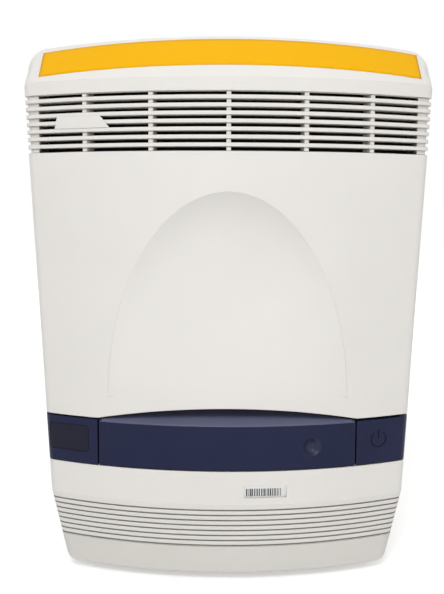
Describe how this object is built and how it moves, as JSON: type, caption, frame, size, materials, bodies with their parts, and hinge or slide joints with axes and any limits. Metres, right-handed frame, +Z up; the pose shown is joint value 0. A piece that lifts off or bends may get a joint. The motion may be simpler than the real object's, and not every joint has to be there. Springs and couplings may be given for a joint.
{
  "type": "real-time pcr system",
  "caption": "Bench-top real-time PCR instrument with a bowed white housing, hinged front cover, louvred brow and a dark band with a sliding plate tray.",
  "frame": {"origin": "middle of the footprint, on the table", "axes": "+X to the right seen from the front, +Y to the back, +Z up; the front faces -Y"},
  "size_m": [0.34, 0.45, 0.49],
  "materials": {
    "housing_white": "satin",
    "band_navy": "satin",
    "window_clear": "clear",
    "rubber_black": "matt",
    "sheet_steel": "zinc plated",
    "plate_aluminium": "satin",
    "block_silver": "bright plated",
    "black_plastic": "matt",
    "black_anodised": "black anodised",
    "white_ceramic": "ceramic",
    "board_green": "solder resist",
    "mirror_silver": "polished",
    "optical_glass": "polished",
    "lamp_glass": "clear"
  },
  "bodies": {
    "housing": {"base_pan": "housing_white", "beam_splitter": "optical_glass", "block_fan_frame": "black_plastic", "ccd_camera": "black_anodised", "chassis_plates": "sheet_steel", "control_board": "board_green", "cover_actuator": "black_anodised", "cover_screws": "sheet_steel", "door_catches": "black_plastic", "exhaust_fan_frame": "black_plastic", "front_bulkhead": "sheet_steel", "halogen_lamp": "lamp_glass", "indicator_board": "board_green", "lamp_housing": "black_anodised", "lamp_socket": "white_ceramic", "lens_barrel": "black_anodised", "lift_actuator": "black_anodised", "louvre_grille": "housing_white", "lower_bezel": "housing_white", "lower_guide_posts": "sheet_steel", "mirrors": "mirror_silver", "optics_brackets": "black_anodised", "optics_shelf": "plate_aluminium", "power_inlet": "black_plastic", "power_supply": "sheet_steel", "power_switch": "black_plastic", "rear_panel": "housing_white", "rubber_feet": "rubber_black", "side_panel_left": "housing_white", "side_panel_right": "housing_white", "slide_outer_rails": "sheet_steel", "status_panel": "band_navy", "status_window": "window_clear", "top_cover": "housing_white", "touch_latch": "black_plastic", "upper_guide_posts": "sheet_steel", "usb_port": "sheet_steel", "wheel_motors": "sheet_steel"},
    "tray": {"tray_door": "band_navy", "tray_frame": "black_plastic", "slide_inner_rails": "sheet_steel"},
    "tray_middle": {"slide_middle_rails": "sheet_steel"},
    "access_door": {"access_door": "housing_white", "hinge_pins": "sheet_steel"},
    "power_button": {"power_button": "band_navy"},
    "latch_plunger": {"latch_plunger": "white_ceramic"},
    "block": {"lift_plate": "plate_aluminium", "heat_sink": "plate_aluminium", "peltier_modules": "white_ceramic", "sample_block": "block_silver"},
    "heated_cover": {"heated_cover": "plate_aluminium", "cover_lens": "optical_glass"},
    "lamp_latch": {"lamp_latch": "sheet_steel"},
    "excitation_wheel": {"excitation_wheel": "black_anodised", "excitation_filters": "optical_glass"},
    "emission_wheel": {"emission_wheel": "black_anodised", "emission_filters": "optical_glass"},
    "block_fan": {"block_fan_rotor": "black_plastic"},
    "exhaust_fan": {"exhaust_fan_rotor": "black_plastic"},
    "fuse_drawer": {"fuse_drawer": "black_plastic"}
  },
  "joints": [
    {"name": "tray_slide", "type": "slide", "parent": "housing", "child": "tray", "axis": [0, -1, 0], "range_m": [-0.002, 0.2]},
    {"name": "tray_middle_slide", "type": "slide", "parent": "housing", "child": "tray_middle", "axis": [0, -1, 0], "range_m": [-0.001, 0.1]},
    {"name": "access_door_hinge", "type": "hinge", "parent": "housing", "child": "access_door", "pos_m": [-0.14895, -0.1718, 0.1375], "axis": [0.0584, 0, -0.9983], "range_deg": [0, 100]},
    {"name": "power_button_press", "type": "slide", "parent": "housing", "child": "power_button", "axis": [0, 1, 0], "range_m": [0, 0.002], "stiffness_N_per_m": 800, "springref_m": -0.0015},
    {"name": "latch_plunger_press", "type": "slide", "parent": "housing", "child": "latch_plunger", "axis": [0, 1, 0], "range_m": [0, 0.003], "stiffness_N_per_m": 400, "springref_m": -0.002},
    {"name": "block_lift", "type": "slide", "parent": "housing", "child": "block", "axis": [0, 0, 1], "range_m": [0, 0.012]},
    {"name": "heated_cover_lift", "type": "slide", "parent": "housing", "child": "heated_cover", "axis": [0, 0, 1], "range_m": [-0.0055, 0]},
    {"name": "lamp_latch_slide", "type": "slide", "parent": "housing", "child": "lamp_latch", "axis": [0, 0, 1], "range_m": [0, 0.008]},
    {"name": "excitation_wheel_spin", "type": "hinge", "parent": "housing", "child": "excitation_wheel", "pos_m": [0.104, -0.06, 0.287], "axis": [0, 1, 0], "continuous": true},
    {"name": "emission_wheel_spin", "type": "hinge", "parent": "housing", "child": "emission_wheel", "pos_m": [0, 0.062, 0.287], "axis": [0, 1, 0], "continuous": true},
    {"name": "block_fan_spin", "type": "hinge", "parent": "housing", "child": "block_fan", "pos_m": [0, -0.07, 0.024], "axis": [0, 0, 1], "continuous": true},
    {"name": "exhaust_fan_spin", "type": "hinge", "parent": "housing", "child": "exhaust_fan", "pos_m": [-0.078, 0.204, 0.3235], "axis": [0, 1, 0], "continuous": true},
    {"name": "fuse_drawer_slide", "type": "slide", "parent": "housing", "child": "fuse_drawer", "axis": [0, 1, 0], "range_m": [0, 0.014]}
  ],
  "couplings": [
    {"joint": "tray_middle_slide", "follows": "tray_slide", "ratio": 0.5}
  ]
}
